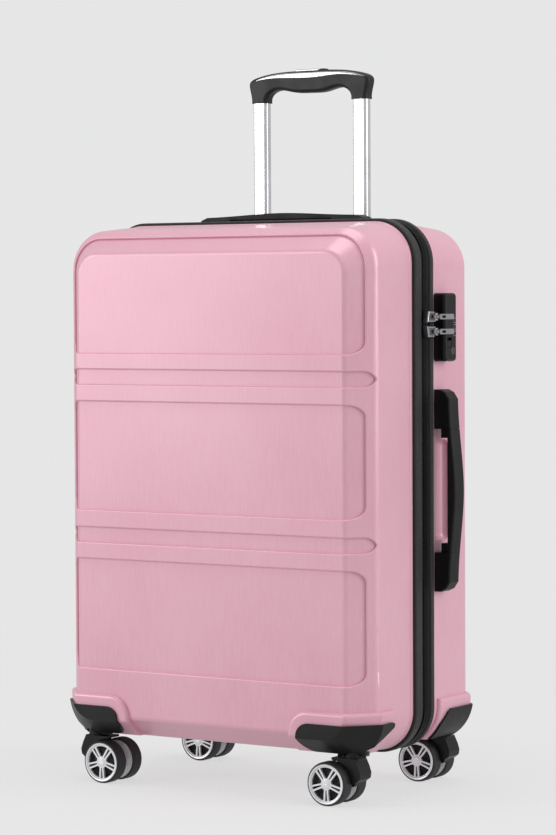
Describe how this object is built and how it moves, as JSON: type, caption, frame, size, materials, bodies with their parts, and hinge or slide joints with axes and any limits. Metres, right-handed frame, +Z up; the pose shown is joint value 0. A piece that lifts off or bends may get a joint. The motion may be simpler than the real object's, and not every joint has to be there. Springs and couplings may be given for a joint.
{
  "type": "suitcase",
  "caption": "Hard-shell spinner suitcase with zip band, combination lock, carry handles and telescopic trolley handle.",
  "frame": {"origin": "on the floor, under the middle of the case's overall width and depth", "axes": "+Z up, front shell faces -Y, lock and side handle on +X"},
  "size_m": [0.4533, 0.273, 0.8425],
  "materials": {
    "shell": "fine brushed satin, rose pink",
    "trim": "moulded rim in the shell's colour",
    "tape": "black woven zip tape",
    "teeth": "black coil",
    "lock": "moulded black",
    "lock_slide": "ribbed",
    "key_metal": "turned",
    "dial": "notched, pale figures left out",
    "zip_metal": "bright plated",
    "handle_end": "moulded black",
    "handle_grip": "soft black",
    "tube": "bright anodised",
    "bezel": "moulded black",
    "grip": "moulded black, satin",
    "inlay": "satin plated",
    "button": "satin",
    "cap": "moulded black",
    "lining": "woven polyester",
    "strap": "webbing",
    "buckle": "moulded black",
    "fork": "moulded black",
    "steel": "turned",
    "tyre": "matt black",
    "rim": "bright silver"
  },
  "bodies": {
    "case": {"rear_shell": "shell", "rear_trim": "trim", "rear_tape": "tape", "rear_teeth": "teeth", "lock_body": "lock", "side_handle_ends": "handle_end", "top_handle_ends": "handle_end", "trolley_collar": "bezel", "outer_tubes": "tube", "tube_foot": "bezel", "rear_housings": "cap", "rear_lining": "lining", "straps": "strap", "strap_buckle": "buckle"},
    "lid": {"front_shell": "shell", "front_trim": "trim", "front_tape": "tape", "front_teeth": "teeth", "front_housings": "cap", "front_lining": "lining"},
    "trolley_middle": {"middle_tubes": "tube"},
    "trolley_inner": {"inner_tubes": "tube", "grip": "grip", "grip_inlay": "inlay"},
    "grip_button": {"grip_button": "button"},
    "top_handle": {"top_handle_grip": "handle_grip"},
    "side_handle": {"side_handle_grip": "handle_grip"},
    "slider_upper": {"slider_upper": "zip_metal"},
    "slider_lower": {"slider_lower": "zip_metal"},
    "pull_upper": {"pull_upper": "zip_metal"},
    "pull_lower": {"pull_lower": "zip_metal"},
    "dial_low": {"dial_low": "dial"},
    "dial_mid": {"dial_mid": "dial"},
    "dial_top": {"dial_top": "dial"},
    "lock_slide": {"lock_button": "lock_slide"},
    "lock_key": {"lock_key": "key_metal"},
    "caster_fl": {"fork_fl": "fork", "steel_fl": "steel"},
    "wheel_fl_a": {"tyre_fl_a": "tyre", "rim_fl_a": "rim"},
    "wheel_fl_b": {"tyre_fl_b": "tyre", "rim_fl_b": "rim"},
    "caster_fr": {"fork_fr": "fork", "steel_fr": "steel"},
    "wheel_fr_a": {"tyre_fr_a": "tyre", "rim_fr_a": "rim"},
    "wheel_fr_b": {"tyre_fr_b": "tyre", "rim_fr_b": "rim"},
    "caster_rl": {"fork_rl": "fork", "steel_rl": "steel"},
    "wheel_rl_a": {"tyre_rl_a": "tyre", "rim_rl_a": "rim"},
    "wheel_rl_b": {"tyre_rl_b": "tyre", "rim_rl_b": "rim"},
    "caster_rr": {"fork_rr": "fork", "steel_rr": "steel"},
    "wheel_rr_a": {"tyre_rr_a": "tyre", "rim_rr_a": "rim"},
    "wheel_rr_b": {"tyre_rr_b": "tyre", "rim_rr_b": "rim"}
  },
  "joints": [
    {"name": "lid_hinge", "type": "hinge", "parent": "case", "child": "lid", "pos_m": [-0.2245, 0.005, 0.3535], "axis": [0, 0, 1], "range_deg": [-165, 0]},
    {"name": "trolley_middle_slide", "type": "slide", "parent": "case", "child": "trolley_middle", "axis": [0, 0, 1], "range_m": [0, 0.165]},
    {"name": "trolley_inner_slide", "type": "slide", "parent": "trolley_middle", "child": "trolley_inner", "axis": [0, 0, 1], "range_m": [-0.14, 0.055]},
    {"name": "grip_button_press", "type": "slide", "parent": "trolley_inner", "child": "grip_button", "axis": [0, 0, -1], "range_m": [0, 0.0025], "stiffness_N_per_m": 900},
    {"name": "top_handle_lift", "type": "slide", "parent": "case", "child": "top_handle", "axis": [0, 0, 1], "range_m": [0, 0.005]},
    {"name": "side_handle_pull", "type": "slide", "parent": "case", "child": "side_handle", "axis": [1, 0, 0], "range_m": [0, 0.01]},
    {"name": "slider_upper_run", "type": "slide", "parent": "case", "child": "slider_upper", "axis": [0, 0, 1], "range_m": [0, 0.04]},
    {"name": "slider_lower_run", "type": "slide", "parent": "case", "child": "slider_lower", "axis": [0, 0, -1], "range_m": [0, 0.05]},
    {"name": "pull_upper_swing", "type": "hinge", "parent": "slider_upper", "child": "pull_upper", "pos_m": [0.2129, 0.008, 0.5465], "axis": [0, 0, -1], "range_deg": [0, 100]},
    {"name": "pull_lower_swing", "type": "hinge", "parent": "slider_lower", "child": "pull_lower", "pos_m": [0.2129, 0.008, 0.5295], "axis": [0, 0, -1], "range_deg": [0, 100]},
    {"name": "dial_low_turn", "type": "hinge", "parent": "case", "child": "dial_low", "pos_m": [0.2089, 0.0496, 0.527], "axis": [0, 0, 1], "continuous": true},
    {"name": "dial_mid_turn", "type": "hinge", "parent": "case", "child": "dial_mid", "pos_m": [0.2089, 0.0496, 0.5345], "axis": [0, 0, 1], "continuous": true},
    {"name": "dial_top_turn", "type": "hinge", "parent": "case", "child": "dial_top", "pos_m": [0.2089, 0.0496, 0.542], "axis": [0, 0, 1], "continuous": true},
    {"name": "lock_release", "type": "slide", "parent": "case", "child": "lock_slide", "axis": [0, 0, 1], "range_m": [0, 0.003], "stiffness_N_per_m": 200},
    {"name": "key_turn", "type": "hinge", "parent": "case", "child": "lock_key", "pos_m": [0.2095, 0.046, 0.507], "axis": [1, 0, 0], "range_deg": [0, 90]},
    {"name": "swivel_fl", "type": "hinge", "parent": "lid", "child": "caster_fl", "pos_m": [-0.1868, -0.1004, 0.06], "axis": [0, 0, 1], "continuous": true},
    {"name": "roll_fl_a", "type": "hinge", "parent": "caster_fl", "child": "wheel_fl_a", "pos_m": [-0.1648, -0.116, 0.025], "axis": [0, 1, 0], "continuous": true},
    {"name": "roll_fl_b", "type": "hinge", "parent": "caster_fl", "child": "wheel_fl_b", "pos_m": [-0.1648, -0.0848, 0.025], "axis": [0, 1, 0], "continuous": true},
    {"name": "swivel_fr", "type": "hinge", "parent": "lid", "child": "caster_fr", "pos_m": [0.1678, -0.1004, 0.06], "axis": [0, 0, 1], "continuous": true},
    {"name": "roll_fr_a", "type": "hinge", "parent": "caster_fr", "child": "wheel_fr_a", "pos_m": [0.1458, -0.116, 0.025], "axis": [0, 1, 0], "continuous": true},
    {"name": "roll_fr_b", "type": "hinge", "parent": "caster_fr", "child": "wheel_fr_b", "pos_m": [0.1458, -0.0848, 0.025], "axis": [0, 1, 0], "continuous": true},
    {"name": "swivel_rl", "type": "hinge", "parent": "case", "child": "caster_rl", "pos_m": [-0.1868, 0.1004, 0.06], "axis": [0, 0, 1], "continuous": true},
    {"name": "roll_rl_a", "type": "hinge", "parent": "caster_rl", "child": "wheel_rl_a", "pos_m": [-0.1648, 0.0848, 0.025], "axis": [0, 1, 0], "continuous": true},
    {"name": "roll_rl_b", "type": "hinge", "parent": "caster_rl", "child": "wheel_rl_b", "pos_m": [-0.1648, 0.116, 0.025], "axis": [0, 1, 0], "continuous": true},
    {"name": "swivel_rr", "type": "hinge", "parent": "case", "child": "caster_rr", "pos_m": [0.1678, 0.1004, 0.06], "axis": [0, 0, 1], "continuous": true},
    {"name": "roll_rr_a", "type": "hinge", "parent": "caster_rr", "child": "wheel_rr_a", "pos_m": [0.1458, 0.0848, 0.025], "axis": [0, 1, 0], "continuous": true},
    {"name": "roll_rr_b", "type": "hinge", "parent": "caster_rr", "child": "wheel_rr_b", "pos_m": [0.1458, 0.116, 0.025], "axis": [0, 1, 0], "continuous": true}
  ]
}
